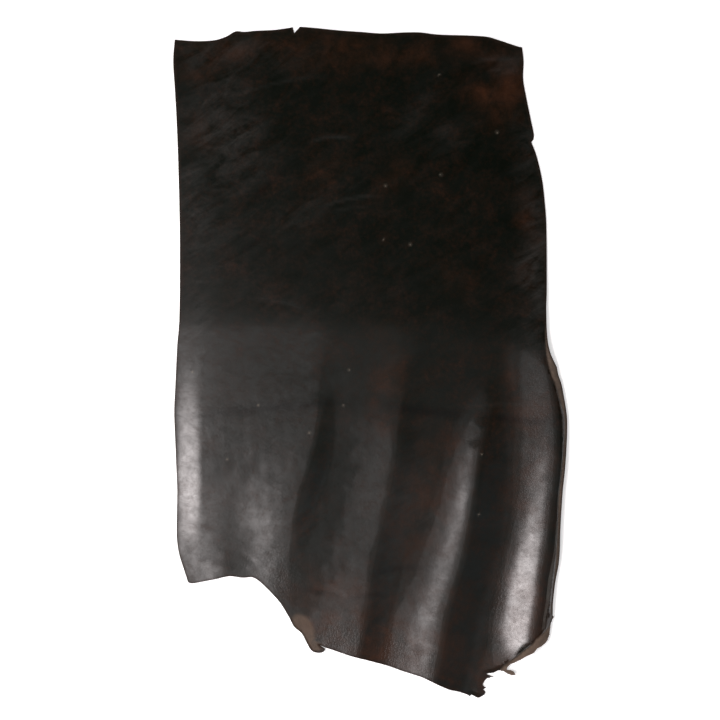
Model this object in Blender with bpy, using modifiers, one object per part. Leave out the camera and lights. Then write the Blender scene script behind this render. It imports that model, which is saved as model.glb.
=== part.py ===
"""Leather hide: one cut side of finished leather lying grain side up.

The straight cut along the animal's back is on the left (-X), the uneven belly edge on the
right (+X), the head end at the top (+Y) and the torn shank end at the bottom (-Y). The head
half lies flat but for its belly side, which begins to lift. The shank half buckles into four
long ridges that lean towards the back as they run down. The cut back edge rolls down to the
surface, and the last and highest ridge stands along the belly edge and falls away at the torn
corner. Sizes in the tables are millimetres.
"""

import math

import bpy
import numpy as np
from mathutils import Vector
from mathutils.geometry import delaunay_2d_cdt, interpolate_bezier

MM = 0.001
THICKNESS = 2.0
EDGE_STEP = 15.0  # longest step along the cut edge

CORNER, SMOOTH = "CORNER", "SMOOTH"

# The cut edge, clockwise from the head corner at the back: x, y, kind of point.
HEAD_EDGE = [
    (-380, 626, CORNER), (-339, 623, SMOOTH), (-302, 625, SMOOTH), (-280, 632, SMOOTH),
    (-262, 642, SMOOTH), (-225, 643, SMOOTH), (-185, 645, SMOOTH), (-163, 648, SMOOTH),
    (-151, 650, CORNER), (-148, 639, CORNER), (-137, 651, CORNER), (-111, 649, SMOOTH),
    (-62, 644, SMOOTH), (22, 639, SMOOTH), (96, 639, SMOOTH), (129, 636, SMOOTH),
    (223, 632, SMOOTH), (252, 624, SMOOTH), (285, 613, SMOOTH),
]
BELLY_EDGE = [
    (294, 611, CORNER), (297, 585, SMOOTH), (296, 552, SMOOTH), (304, 505, SMOOTH),
    (317, 443, CORNER), (312, 428, CORNER), (322, 401, SMOOTH), (333, 354, SMOOTH),
    (341, 265, SMOOTH), (342, 140, SMOOTH), (340, 102, SMOOTH), (342, 47, SMOOTH),
    (347.5, 17, SMOOTH), (361, -10, CORNER), (361.9, -25, SMOOTH), (373.5, -65, SMOOTH),
    (380, -117, SMOOTH), (379, -151, SMOOTH), (371, -247, SMOOTH), (366, -329, SMOOTH),
    (364, -384, SMOOTH), (354, -452, SMOOTH), (353, -493, CORNER),
]
SHANK_EDGE = [
    (345.2, -529, SMOOTH), (338.4, -542, SMOOTH), (321.4, -552, CORNER), (302.8, -567, SMOOTH),
    (283.2, -579, SMOOTH), (271.4, -584, SMOOTH), (264, -597, CORNER), (248, -597, SMOOTH),
    (225, -610, CORNER), (218, -625, SMOOTH), (222, -639, CORNER), (209, -651, CORNER),
    (188, -645, SMOOTH), (152, -634, SMOOTH), (100, -609, SMOOTH), (37.6, -590, SMOOTH),
    (-38.2, -569, SMOOTH), (-75.5, -557, SMOOTH), (-89.6, -553, CORNER), (-90.5, -559, SMOOTH),
    (-97.4, -563, SMOOTH), (-110.4, -562, SMOOTH), (-121.6, -552, SMOOTH), (-135.8, -525, SMOOTH),
    (-149.9, -513, SMOOTH), (-175, -469, SMOOTH), (-193, -448, SMOOTH), (-216, -426, SMOOTH),
    (-231, -418, SMOOTH), (-276, -416, SMOOTH), (-325, -425, SMOOTH),
]
BACK_EDGE = [
    (-354, -428, CORNER), (-362, -402, SMOOTH), (-373, -364, SMOOTH), (-376, -310, SMOOTH),
    (-376, -228, SMOOTH), (-381, -96, SMOOTH), (-377, -5, SMOOTH), (-371, 86, SMOOTH),
    (-370, 228, SMOOTH), (-374, 412, SMOOTH), (-380, 533, SMOOTH), (-383, 591, SMOOTH),
]

# Each ridge from its start down to the shank end: y, x of the crest, height of the crest,
# width of the slope towards the back, width of the slope towards the belly, and how far
# the crest is rounded over.
BACK_RIDGE = [
    (120, -88, 0.0, 112, 100, 28), (70, -91, 0.0, 112, 100, 28), (50, -93, 0.0, 112, 100, 28),
    (0, -97, 0.1, 110, 104, 28), (-60, -104, 0.8, 109, 104, 31), (-110, -110, 2.0, 108, 101, 37),
    (-180, -120, 4.0, 104, 95, 44), (-280, -152, 5.0, 82, 97, 50), (-380, -164, 4.2, 64, 104, 43),
    (-480, -175, 3.5, 68, 101, 35), (-570, -191, 3.2, 87, 93, 27), (-650, -199, 3.8, 117, 88, 22),
]
SECOND_RIDGE = [
    (120, 104, 0.0, 230, 88, 13), (70, 96, 0.0, 230, 88, 13), (50, 92, 0.0, 230, 88, 13),
    (0, 80, 0.3, 226, 86, 13), (-60, 64, 2.0, 210, 80, 13), (-110, 55, 4.3, 188, 74, 14),
    (-180, 48, 6.4, 161, 67, 16), (-280, 28, 5.6, 154, 59, 16), (-380, 8, 5.0, 174, 54, 16),
    (-480, -8, 6.6, 166, 52, 16), (-570, -23, 9.3, 147, 56, 16), (-650, -31, 11.2, 137, 65, 16),
]
THIRD_RIDGE = [
    (120, 262, 0.0, 64, 46, 11), (80, 262, 0.0, 64, 46, 11), (50, 258, 0.1, 62, 46, 11),
    (10, 250, 0.8, 60, 46, 11), (-30, 241, 2.2, 58, 48, 12), (-90, 232, 5.2, 56, 52, 14),
    (-180, 214, 9.0, 62, 58, 16), (-280, 200, 11.8, 68, 60, 19), (-380, 181, 12.9, 80, 62, 22),
    (-480, 152, 13.7, 98, 62, 24), (-570, 135, 14.8, 113, 60, 24), (-650, 119, 15.6, 126, 58, 22),
]
BELLY_RIDGE = [
    (340, 338, 0.0, 80, 18, 10), (250, 338, 1.0, 84, 18, 11), (150, 338, 4.0, 90, 18, 12),
    (60, 341, 8.0, 98, 18, 13), (20, 344, 9.9, 102, 20, 14), (-20, 351, 12.4, 106, 20, 15),
    (-73, 361, 14.6, 108, 22, 17), (-131, 366, 15.9, 102, 24, 19), (-190, 367, 18.3, 96, 26, 21),
    (-248, 361, 19.3, 90, 27, 23), (-306, 356, 20.0, 82, 28, 27), (-364, 350, 23.0, 78, 30, 31),
    (-422, 337, 26.0, 72, 32, 32), (-461, 334, 27.0, 74, 33, 33), (-500, 328, 26.4, 81, 33, 32),
    (-540, 320, 21.5, 70, 30, 36), (-580, 314, 14.0, 76, 30, 38), (-650, 296, 8.0, 90, 30, 40),
]
FLAP_RISE = [
    (-250, -288, 0.0, 70, 60, 24), (-330, -284, 0.9, 70, 60, 24), (-400, -280, 2.8, 70, 60, 24),
    (-470, -276, 3.6, 70, 60, 24),
]
RIDGES = [BACK_RIDGE, SECOND_RIDGE, THIRD_RIDGE, BELLY_RIDGE, FLAP_RISE]
BELLY_SIDE_ROUNDING = 0.5  # the side towards the belly is rounded over less

# The roll along the back edge: y, height of the roll above the surface.
BACK_ROLL = [
    (120, 0.0), (70, 0.0), (50, 0.0), (0, 0.4), (-50, 1.5), (-112, 3.0), (-170, 4.2),
    (-228, 5.7), (-287, 4.3), (-345, 1.8), (-400, 0.1), (-440, 0.0),
]
ROLL_FOOT_X, ROLL_LENGTH = -378.0, 52.0  # where it starts and how far it rises
ROLL_FADE = 45.0

# Slack between the ridges: wavelength, direction in degrees, phase in degrees, depth.
SLACK_WAVES = [(310, 12, 40, 0.3), (190, 100, 200, 0.2), (120, 60, 90, 0.12)]
SLACK_FROM_Y, SLACK_FULL_Y = 40.0, -120.0

# Zones of the surface net, first match wins: lowest x, lowest y, highest y, spacing.
# The steep belly ridge needs the closest net and the flat head half the widest.
NET_ZONES = [
    (290, -660, 60, 10.5), (-400, -660, 110, 19.5), (220, 110, 350, 26.0), (-400, 110, 660, 52.0),
]


def new_collection(name):
    collection = bpy.data.collections.new(name)
    bpy.context.scene.collection.children.link(collection)
    return collection


def outline_curve(points, collection):
    """The cut edge as a closed flat curve: straight handles at corners, even ones elsewhere."""
    data = bpy.data.curves.new("hide_outline", "CURVE")
    data.dimensions = "2D"
    spline = data.splines.new("BEZIER")
    spline.bezier_points.add(len(points) - 1)
    spline.use_cyclic_u = True
    for i, (x, y, kind) in enumerate(points):
        here = Vector((x, y, 0.0))
        before = Vector((*points[i - 1][:2], 0.0))
        after = Vector((*points[(i + 1) % len(points)][:2], 0.0))
        back_dir, ahead_dir = (before - here).normalized(), (after - here).normalized()
        if kind == SMOOTH:
            ahead_dir = (after - before).normalized()
            back_dir = -ahead_dir
        knot = spline.bezier_points[i]
        knot.handle_left_type = knot.handle_right_type = "FREE"
        knot.co = here
        knot.handle_left = here + back_dir * (here - before).length / 3.0
        knot.handle_right = here + ahead_dir * (after - here).length / 3.0
    curve = bpy.data.objects.new("hide_outline", data)
    curve.scale = (MM, MM, MM)
    curve.hide_render = True
    curve.display_type = "WIRE"
    collection.objects.link(curve)
    return curve


def points_along(curve, longest_step):
    """Points on the closed curve, no further apart than the step."""
    knots = list(curve.data.splines[0].bezier_points)
    found = []
    for a, b in zip(knots, knots[1:] + knots[:1]):
        steps = max(1, math.ceil((b.co - a.co).length / longest_step))
        span = interpolate_bezier(a.co, a.handle_right, b.handle_left, b.co, steps + 1)
        found += [(p.x, p.y) for p in span[:-1]]
    return np.array(found)


def column_at(rows, column, y):
    """A table column at the heights y, on a smooth curve through its rows."""
    down = np.array([-row[0] for row in rows], float)
    values = np.array([row[column] for row in rows], float)
    slopes = np.gradient(values, down)
    s = np.clip(-y, down[0], down[-1])
    i = np.clip(np.searchsorted(down, s) - 1, 0, len(rows) - 2)
    step = down[i + 1] - down[i]
    t = (s - down[i]) / step
    return (
        (2 * t**3 - 3 * t**2 + 1) * values[i]
        + (t**3 - 2 * t**2 + t) * step * slopes[i]
        + (3 * t**2 - 2 * t**3) * values[i + 1]
        + (t**3 - t**2) * step * slopes[i + 1]
    )


def smooth_step(t):
    t = np.clip(t, 0.0, 1.0)
    return t * t * (3 - 2 * t)


def ridge_height(rows, x, y):
    """One long ridge with a broad slope towards the back and a short one towards the belly."""
    crest = column_at(rows, 1, y)
    width = np.where(x < crest, column_at(rows, 3, y), column_at(rows, 4, y))
    rounding = column_at(rows, 5, y) * np.where(x < crest, 1.0, BELLY_SIDE_ROUNDING)
    away = np.hypot(x - crest, rounding) - rounding
    profile = np.clip(1.0 - away / width, 0.0, 1.0) ** 2
    return np.maximum(column_at(rows, 2, y), 0.0) * profile


def roll_height(x, y):
    """The back edge curves down to the surface; the lift ends with the first ridge."""
    crest = column_at(BACK_RIDGE, 1, y)
    rise = smooth_step((x - ROLL_FOOT_X) / ROLL_LENGTH)
    lift = np.maximum(column_at(BACK_ROLL, 1, y), 0.0)
    return lift * rise * (1.0 - smooth_step((x - crest) / ROLL_FADE))


def slack_height(x, y):
    depth = 0.0
    for wavelength, direction, phase, height in SLACK_WAVES:
        turn = math.radians(direction)
        along = x * math.cos(turn) + y * math.sin(turn)
        wave = np.sin(2 * math.pi * along / wavelength + math.radians(phase))
        depth = depth + height * (1 + wave) / 2
    return depth * smooth_step((SLACK_FROM_Y - y) / (SLACK_FROM_Y - SLACK_FULL_Y))


def underside_height(x, y):
    """Height of the flesh side above the surface: nought over most of the head half."""
    return roll_height(x, y) + slack_height(x, y) + sum(ridge_height(r, x, y) for r in RIDGES)


def inside_outline(px, py, edge):
    """Whether each point is inside the closed edge, by counting crossings."""
    crossings = np.zeros(len(px), int)
    for (x0, y0), (x1, y1) in zip(edge, np.roll(edge, -1, axis=0)):
        if y0 != y1:
            spans = (y0 > py) != (y1 > py)
            crossings += spans & (px < x0 + (py - y0) * (x1 - x0) / (y1 - y0))
    return crossings % 2 == 1


def distance_to_edge(px, py, edge):
    nearest = np.full(len(px), 1e9)
    for a, b in zip(edge, np.roll(edge, -1, axis=0)):
        span = b - a
        t = ((px - a[0]) * span[0] + (py - a[1]) * span[1]) / span.dot(span)
        t = np.clip(t, 0.0, 1.0)
        gap = np.hypot(px - a[0] - t * span[0], py - a[1] - t * span[1])
        nearest = np.minimum(nearest, gap)
    return nearest


def net_points(edge):
    """Staggered points inside the edge, as close together as their zone asks."""
    found = []
    taken = []
    for zone in NET_ZONES:
        low_x, low_y, high_y, spacing = zone
        rows = np.arange(low_y, high_y, spacing * math.sqrt(0.75))
        for n, y in enumerate(rows):
            xs = np.arange(low_x + (n % 2) * spacing / 2, 400, spacing)
            ys = np.full(len(xs), y)
            keep = inside_outline(xs, ys, edge) & (distance_to_edge(xs, ys, edge) > spacing * 0.55)
            for first_x, first_y, last_y, first_spacing in taken:
                gap = (first_spacing + spacing) * 0.4
                keep &= ~((xs > first_x - gap) & (ys > first_y - gap) & (ys < last_y + gap))
            found.append(np.column_stack([xs[keep], ys[keep]]))
        taken.append(zone)
    return np.concatenate(found)


def flesh_side(edge):
    """The flesh side as one open net of triangles between the cut edges."""
    flat = [Vector(p) for p in np.concatenate([edge, net_points(edge)])]
    rim = [(i, (i + 1) % len(edge)) for i in range(len(edge))]
    points, _, faces, *_ = delaunay_2d_cdt(flat, rim, [], 1, 1e-4)
    x, y = np.array([p.x for p in points]), np.array([p.y for p in points])
    z = underside_height(x, y)
    middle = (edge.max(axis=0) + edge.min(axis=0)) / 2
    x, y = x - middle[0], y - middle[1]
    mesh = bpy.data.meshes.new("hide")
    mesh.from_pydata(np.column_stack([x, y, z]) * MM, [], faces)
    mesh.validate()
    return mesh


def leather():
    material = bpy.data.materials.new("hide_leather")
    material.use_nodes = True
    shader = material.node_tree.nodes["Principled BSDF"]
    shader.inputs["Base Color"].default_value = (0.030, 0.021, 0.017, 1.0)
    shader.inputs["Roughness"].default_value = 0.38
    return material


def main():
    for old in list(bpy.data.objects):
        bpy.data.objects.remove(old, do_unlink=True)
    body = new_collection("leather hide")
    guides = new_collection("guides")

    outline = outline_curve(HEAD_EDGE + BELLY_EDGE + SHANK_EDGE + BACK_EDGE, guides)
    edge = points_along(outline, EDGE_STEP)

    hide = bpy.data.objects.new("hide", flesh_side(edge))
    hide.data.materials.append(leather())
    body.objects.link(hide)
    solid = hide.modifiers.new("thickness", "SOLIDIFY")
    solid.thickness = THICKNESS * MM
    solid.offset = 1.0


main()
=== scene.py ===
"""Leather hide: one cut side of dark waxed leather lying grain side up on a pale floor."""

import math

import bpy
import numpy as np
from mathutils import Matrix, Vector
from mathutils.geometry import delaunay_2d_cdt, interpolate_bezier


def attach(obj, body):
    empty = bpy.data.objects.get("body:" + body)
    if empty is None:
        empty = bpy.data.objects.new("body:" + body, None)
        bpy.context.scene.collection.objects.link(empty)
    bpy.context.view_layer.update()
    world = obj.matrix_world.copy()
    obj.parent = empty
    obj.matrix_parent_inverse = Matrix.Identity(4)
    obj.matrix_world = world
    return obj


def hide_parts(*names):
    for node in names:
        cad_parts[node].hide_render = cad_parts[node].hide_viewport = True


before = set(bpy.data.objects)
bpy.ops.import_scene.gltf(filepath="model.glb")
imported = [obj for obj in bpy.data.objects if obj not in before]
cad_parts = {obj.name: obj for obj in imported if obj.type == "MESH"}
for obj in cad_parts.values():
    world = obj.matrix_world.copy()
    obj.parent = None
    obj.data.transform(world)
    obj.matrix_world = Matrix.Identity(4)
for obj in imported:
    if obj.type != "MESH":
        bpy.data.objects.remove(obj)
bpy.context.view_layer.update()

# ---------------------------------------------------------------------------------------
# The cut hide. One side of cattle leather, tanned, dyed through and waxed on the grain:
# straight knife cut along the back and the head end, natural uneven belly edge, torn shank
# end. The head half lies flat but for its belly side; the shank half is buckled into long
# ridges. Sizes in the tables are millimetres.
# ---------------------------------------------------------------------------------------
MM = 0.001
SHARP, ROUND = "SHARP", "ROUND"

# The edge, clockwise from the head corner at the back: x, y, kind of point.
HEAD_CUT = [
    (-380, 626, SHARP), (-339, 623, ROUND), (-302, 625, ROUND), (-280, 632, ROUND),
    (-262, 642, ROUND), (-245, 641, ROUND), (-225, 643, ROUND), (-185, 645, ROUND),
    (-163, 648, ROUND), (-151, 650, SHARP), (-148, 639, SHARP), (-137, 651, SHARP),
    (-111, 649, ROUND), (-62, 644, ROUND), (-20, 641, ROUND), (22, 638, ROUND),
    (64, 640, ROUND), (96, 640, ROUND), (129, 636, ROUND), (223, 632, ROUND),
    (252, 624, ROUND), (285, 613, ROUND),
]
BELLY = [
    (294, 611, SHARP), (297, 585, ROUND), (296, 556, ROUND), (297, 542, ROUND),
    (304, 505, ROUND), (311, 471, ROUND), (317, 441, ROUND), (316, 432, SHARP),
    (312, 427, SHARP), (322, 401, ROUND), (333, 354, ROUND), (338, 311, ROUND),
    (341, 265, ROUND), (341, 140, ROUND), (340, 102, ROUND), (342, 47, ROUND),
    (347.5, 17, ROUND), (360, -10, SHARP), (362.9, -25, ROUND), (368.7, -41, ROUND),
    (373.5, -65, ROUND), (379.1, -100, ROUND), (380, -117, ROUND), (379, -151, ROUND),
    (375, -210, ROUND), (371, -247, ROUND), (368, -292, ROUND), (366, -329, ROUND),
    (364, -384, ROUND), (356, -430, ROUND), (352, -467, ROUND), (352, -490, SHARP),
]
TORN_CORNER = [
    (355, -493.6, SHARP), (349.6, -500.2, SHARP), (347.7, -511.9, ROUND),
    (345.1, -528.5, ROUND), (338.6, -541.6, ROUND), (327.7, -549.1, SHARP),
    (321.3, -551.8, SHARP), (315.7, -560.2, SHARP), (303, -566.8, ROUND),
    (293.9, -572.2, SHARP), (283, -578.8, ROUND), (271, -584.3, SHARP),
    (264.9, -590.9, ROUND), (264.2, -595.5, SHARP), (275.5, -597.3, ROUND),
    (280.7, -604.5, SHARP), (274.5, -605.8, ROUND), (265.2, -602.9, ROUND),
    (255.9, -597.9, ROUND), (248.5, -597.3, ROUND), (238.2, -601.9, SHARP),
    (225.2, -604.5, ROUND), (229.9, -606.6, SHARP), (238.6, -609.5, SHARP),
    (228.1, -611.8, ROUND), (224.0, -614.9, SHARP), (217.8, -625.2, ROUND),
    (223.8, -630.9, SHARP), (218.4, -634.0, SHARP), (222.9, -641.0, ROUND),
    (215.9, -647.6, SHARP), (208.5, -651.2, SHARP), (196, -645, SHARP), (192, -648, SHARP),
]
SHANK = [
    (188, -645, ROUND), (171, -639, ROUND),
    (152, -634, ROUND), (122, -619, ROUND), (100, -609, ROUND), (62, -598, ROUND),
    (38, -590, ROUND), (13, -583, ROUND), (-14, -575, ROUND), (-37, -569, ROUND),
    (-56, -563, ROUND), (-74, -557, ROUND), (-87, -553, SHARP), (-101, -547, SHARP),
    (-88, -555, SHARP), (-89, -559, ROUND), (-96, -563, ROUND), (-109, -562, ROUND),
    (-116, -557, ROUND), (-123, -545, ROUND), (-134, -525, ROUND), (-148, -513, ROUND),
    (-156, -498, ROUND), (-173, -469, ROUND), (-191, -448, ROUND), (-214, -426, ROUND),
    (-229, -417, ROUND), (-247, -418, ROUND), (-274, -415, ROUND), (-298, -420, ROUND),
    (-323, -425, ROUND), (-346, -429, ROUND),
]
BACK_CUT = [
    (-354, -427, SHARP), (-362, -402, ROUND), (-368, -384, ROUND), (-373, -364, ROUND),
    (-376, -339, ROUND), (-376, -310, ROUND), (-375, -248, ROUND), (-377, -201, ROUND),
    (-379, -151, ROUND), (-381, -96, ROUND), (-379, -50, ROUND), (-377, -5, ROUND),
    (-375, 34, ROUND), (-371, 86, ROUND), (-370, 228, ROUND), (-371, 305, ROUND),
    (-374, 412, ROUND), (-377, 482, ROUND), (-380, 533, ROUND), (-383, 587, ROUND),
]
# Where the glossy grain layer stops short of the belly edge: x, y, from the kink down.
GRAIN_END = [
    (342, 92), (337, 75), (336, 63), (337.5, 18), (343, -11), (347.8, -27),
    (356.6, -50), (364.3, -79),
    (370.1, -100), (372, -124), (370, -170), (365, -225), (361, -256), (359, -314),
    (355, -384), (348, -452), (346, -481), (350, -500), (334.1, -518), (319.2, -530),
    (310.4, -542), (295.5, -555), (279.8, -569), (266.2, -579), (253.6, -590), (240, -606),
]
# Thickness of the grain layer, width of its sloping edge, how far the wear beside it
# reaches, and the height it starts from and fades in over.
GRAIN_LAYER, GRAIN_LIP, LIP_WEAR = 0.7, 0.9, 4.5
LIP_FROM_Y, LIP_REACH = 92.0, 40.0

# Each ridge from its start down to the shank end: y, x of the crest, height of the crest,
# width of the slope towards the back, width of the slope towards the belly, and how far
# the crest is rounded over. The belly side is rounded less.
BELLY_SIDE_ROUNDING = 0.5
CREST_X, CREST_HEIGHT, BACK_SLOPE, BELLY_SLOPE, CREST_ROUNDING = 1, 2, 3, 4, 5
BACK_RIDGE = [
    (120, -88, 0.0, 112, 100, 28), (70, -91, 0.0, 112, 100, 28),
    (50, -93, 0.0, 112, 100, 28), (0, -97, 0.1, 110, 104, 30),
    (-60, -102, 0.5, 109, 104, 40), (-110, -106, 1.5, 108, 101, 52),
    (-180, -116, 3.6, 104, 97, 60), (-280, -148, 5.2, 82, 104, 60),
    (-380, -162, 4.2, 64, 106, 46), (-480, -175, 3.5, 68, 101, 35),
    (-570, -191, 3.2, 87, 93, 27), (-650, -199, 3.8, 117, 88, 22),
]
SECOND_RIDGE = [
    (120, 104, 0.0, 230, 88, 13), (70, 96, 0.0, 230, 88, 13), (50, 92, 0.0, 230, 88, 13),
    (0, 80, 0.3, 226, 86, 13), (-60, 64, 2.0, 210, 80, 13), (-110, 55, 4.3, 188, 74, 14),
    (-180, 50, 6.2, 140, 67, 16), (-280, 30, 5.2, 118, 59, 16), (-380, 8, 4.9, 160, 54, 16),
    (-480, -8, 6.6, 166, 52, 16), (-570, -23, 9.3, 147, 56, 16),
    (-650, -31, 11.2, 137, 65, 16),
]
THIRD_RIDGE = [
    (120, 262, 0.0, 64, 46, 11), (80, 262, 0.0, 64, 46, 11), (50, 258, 0.1, 62, 46, 11),
    (10, 250, 0.4, 60, 46, 11), (-30, 241, 1.2, 58, 48, 12), (-90, 232, 3.9, 56, 52, 14),
    (-180, 214, 9.0, 62, 58, 16), (-280, 200, 11.8, 68, 60, 19),
    (-380, 181, 12.9, 80, 62, 22), (-480, 152, 13.7, 98, 62, 24),
    (-570, 135, 14.8, 113, 60, 24), (-650, 119, 15.6, 126, 58, 22),
]
BELLY_RIDGE = [
    (340, 338, 0.0, 80, 18, 10), (250, 338, 1.2, 84, 18, 11), (150, 338, 4.6, 90, 18, 12),
    (60, 341, 9.8, 98, 18, 13), (20, 344, 12.2, 102, 20, 14), (-20, 351, 14.4, 106, 20, 15),
    (-73, 361, 15.2, 108, 22, 17), (-131, 366, 15.9, 102, 24, 19),
    (-190, 365, 16.4, 86, 26, 22), (-248, 359, 16.6, 74, 27, 25),
    (-306, 353, 17.6, 68, 28, 29), (-364, 346, 20.6, 68, 30, 32),
    (-422, 334, 22.4, 67, 32, 33), (-461, 330, 23.4, 69, 33, 33),
    (-500, 324, 24.0, 75, 33, 33), (-540, 320, 21.5, 70, 30, 36),
    (-580, 314, 14.0, 76, 30, 38), (-650, 296, 8.0, 90, 30, 40),
]
FLAP_RISE = [
    (-250, -288, 0.0, 70, 70, 24), (-330, -288, 0.6, 70, 70, 24),
    (-400, -286, 1.9, 70, 70, 24), (-470, -284, 2.5, 70, 70, 24),
]
RIDGES = [BACK_RIDGE, SECOND_RIDGE, THIRD_RIDGE, BELLY_RIDGE, FLAP_RISE]

# The roll along the back edge: y, height of the roll above the floor.
BACK_ROLL = [
    (120, 0.0), (70, 0.0), (50, 0.0), (0, 0.4), (-50, 1.4), (-112, 2.9), (-170, 4.2),
    (-228, 5.45), (-287, 3.75), (-345, 1.5), (-400, 0.1), (-440, 0.0),
]
ROLL_HEIGHT = 1
# Where its foot is, how wide its rise is, and how far past the first ridge it fades.
ROLL_FOOT_X, ROLL_LENGTH, ROLL_FADE = -378.0, 52.0, 45.0

# Slack between the ridges: wavelength, direction in degrees, phase in degrees, depth.
SLACK_WAVES = [(310, 12, 40, 0.3), (190, 100, 200, 0.2), (120, 60, 90, 0.12)]
SLACK_FROM_Y, SLACK_FULL_Y = 40.0, -120.0

# The skin's own unevenness: wavelength and height of each set of waves, how many waves
# a set has and what their sum is divided by, and the share left on the flat half.
SWELL = [(95, 0.11), (52, 0.070), (30, 0.036), (17, 0.013)]
SWELL_SEED, SWELL_WAVES, SWELL_DIVISOR = 5, 7, 2.6
SWELL_FLAT, SWELL_FROM_Y, SWELL_REACH = 0.06, -20.0, 180.0

# The short tear at the shank tab: its tip, its mouth, and how far the upper lip stands up.
TEAR_TIP, TEAR_MOUTH = (-101.0, -547.0), (-87.5, -554.0)
TEAR_LIFT, TEAR_REACH = 0.5, 18.0

# Soft wrinkles in the grain: x and y of both ends, sideways bow, half width, height.
WRINKLES = [
    (-136, 426, -49, 424, 14, 5, -0.30), (-118, 312, -48, 302, 12, 5, -0.25),
    (-60, 300, 20, 268, 10, 6, 0.20), (-20, 470, 60, 486, 8, 6, -0.20),
    (258, 590, 296, 560, 4, 5, 0.45), (270, 600, 297, 578, 3, 4, -0.35),
    (-178, 592, -60, 604, 6, 5, -0.15), (120, 560, 240, 596, -8, 6, 0.18),
    (-250, 120, -120, 96, 6, 6, -0.12), (-120, -440, -40, -462, 8, 6, -0.35),
    (-60, -470, 20, -478, -6, 6, -0.25), (-300, -360, -214, -396, 7, 6, -0.30),
    (-330, -395, -262, -402, 4, 5, 0.30), (60, -540, 130, -560, 5, 6, -0.25),
]

# Zones of the surface net, first match wins: lowest x, lowest y, highest y, spacing.
NET_ZONES = [
    (285, -660, 100, 3.4), (-400, -660, 130, 5.0), (-400, 130, 660, 6.0),
]
# Longest step along the edge and along the end of the grain layer, and how clear of
# the lines and of a finer zone the net keeps, in shares of its spacing.
EDGE_STEP, GRAIN_END_STEP = 4.0, 5.0
LINE_GAP, ZONE_GAP = 0.5, 0.4
# The belly-side end of the net, and how near a point on a line has to be to it.
NET_END_X, ON_LINE = 400, 0.01
# The hide's thickness, its thickness at the tear, and how far in from the tear it thins.
THICKNESS, TORN_THICKNESS, TORN_REACH = 2.0, 0.7, 9.0


def points_along(rows, longest_step, closed):
    """Points along a line: straight at SHARP points, a smooth curve through ROUND ones."""
    found = []
    last = len(rows) if closed else len(rows) - 1
    at = [Vector((row[0], row[1])) for row in rows]
    for i in range(last):
        a, b = at[i], at[(i + 1) % len(rows)]
        reach = (b - a).length / 3.0
        pulls = []
        for k, other in ((i, b), ((i + 1) % len(rows), a)):
            before, after = at[k - 1], at[(k + 1) % len(rows)]
            ends = not closed and k in (0, len(rows) - 1)
            if rows[k][2] == SHARP or ends:
                pulls.append(at[k] + (other - at[k]).normalized() * reach)
            else:
                along = (after - before).normalized() * reach
                pulls.append(at[k] + (along if k == i else -along))
        steps = max(1, math.ceil((b - a).length / longest_step))
        span = interpolate_bezier(
            a.to_3d(), pulls[0].to_3d(), pulls[1].to_3d(), b.to_3d(), steps + 1
        )
        found += [(p.x, p.y) for p in span[:-1]]
    return np.array(found if closed else found + [rows[-1][:2]], float)


def column_at(rows, column, y):
    """A table column at the heights y, on a smooth curve through its rows."""
    down = np.array([-row[0] for row in rows], float)
    values = np.array([row[column] for row in rows], float)
    slopes = np.gradient(values, down)
    s = np.clip(-y, down[0], down[-1])
    i = np.clip(np.searchsorted(down, s) - 1, 0, len(rows) - 2)
    step = down[i + 1] - down[i]
    t = (s - down[i]) / step
    return (
        (2 * t**3 - 3 * t**2 + 1) * values[i]
        + (t**3 - 2 * t**2 + t) * step * slopes[i]
        + (3 * t**2 - 2 * t**3) * values[i + 1]
        + (t**3 - t**2) * step * slopes[i + 1]
    )


def smooth_step(t):
    """From nought to one with no kink at either end."""
    t = np.clip(t, 0.0, 1.0)
    return t * t * (3 - 2 * t)


def ridge_height(rows, x, y):
    """One long ridge: broad slope towards the back, short one towards the belly."""
    crest = column_at(rows, CREST_X, y)
    back, belly = column_at(rows, BACK_SLOPE, y), column_at(rows, BELLY_SLOPE, y)
    width = np.where(x < crest, back, belly)
    side = np.where(x < crest, 1.0, BELLY_SIDE_ROUNDING)
    rounding = column_at(rows, CREST_ROUNDING, y) * side
    away = np.hypot(x - crest, rounding) - rounding
    profile = np.clip(1.0 - away / width, 0.0, 1.0) ** 2
    return np.maximum(column_at(rows, CREST_HEIGHT, y), 0.0) * profile


def roll_height(x, y):
    """The back edge curves down to the floor; the lift ends with the first ridge."""
    rise = smooth_step((x - ROLL_FOOT_X) / ROLL_LENGTH)
    lift = np.maximum(column_at(BACK_ROLL, ROLL_HEIGHT, y), 0.0)
    past_ridge = (x - column_at(BACK_RIDGE, CREST_X, y)) / ROLL_FADE
    return lift * rise * (1.0 - smooth_step(past_ridge))


def slack_height(x, y):
    """The slack lifts the shank half off the floor a little here and there."""
    depth = 0.0
    for wavelength, direction, phase, height in SLACK_WAVES:
        turn = math.radians(direction)
        along = x * math.cos(turn) + y * math.sin(turn)
        wave = np.sin(2 * math.pi * along / wavelength + math.radians(phase))
        depth = depth + height * (1 + wave) / 2
    return depth * smooth_step((SLACK_FROM_Y - y) / (SLACK_FROM_Y - SLACK_FULL_Y))


def swell_height(x, y):
    """The skin's own unevenness: faint on the flat half, plainer between the ridges."""
    rng = np.random.default_rng(SWELL_SEED)
    total = np.zeros(len(x))
    for wavelength, height in SWELL:
        for _ in range(SWELL_WAVES):
            turn, phase = rng.uniform(0, math.tau), rng.uniform(0, math.tau)
            stretch = rng.uniform(0.8, 1.25)
            along = x * math.cos(turn) + y * math.sin(turn)
            wave = np.sin(math.tau * along / (wavelength * stretch) + phase)
            total += height * wave / SWELL_DIVISOR
    share = smooth_step((SWELL_FROM_Y - y) / SWELL_REACH)
    return total * (SWELL_FLAT + (1 - SWELL_FLAT) * share)


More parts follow.
